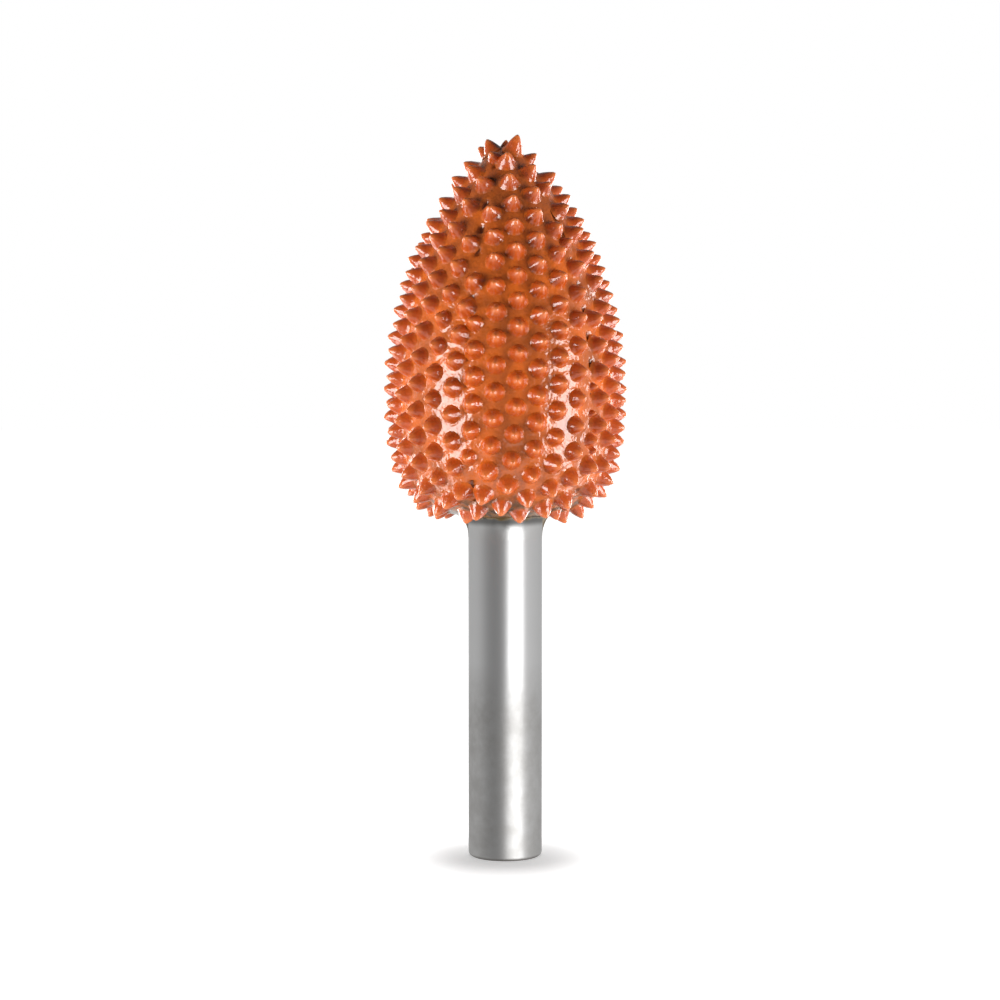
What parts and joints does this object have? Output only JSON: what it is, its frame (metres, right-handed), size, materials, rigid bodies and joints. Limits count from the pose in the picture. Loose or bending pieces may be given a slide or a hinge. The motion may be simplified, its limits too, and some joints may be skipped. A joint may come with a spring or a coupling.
{
  "type": "rotary burr",
  "caption": "Egg-shaped rotary carving burr: a head covered in short pointed teeth, brazed to a round steel shank for a collet.",
  "frame": {"origin": "centre of the shank's free end face, on which the burr stands", "axes": "+Z along the shank towards the nose of the head; -Y is the side that the picture shows"},
  "size_m": [0.0211, 0.0211, 0.0619],
  "materials": {
    "head_coat": "glossy orange coat over the toothed skin",
    "shank_steel": "centreless ground, satin",
    "braze": "dull, tan and olive, as brazed"
  },
  "bodies": {
    "root": {"toothed_head": "head_coat", "shank": "shank_steel", "braze_ring": "braze"}
  },
  "joints": []
}
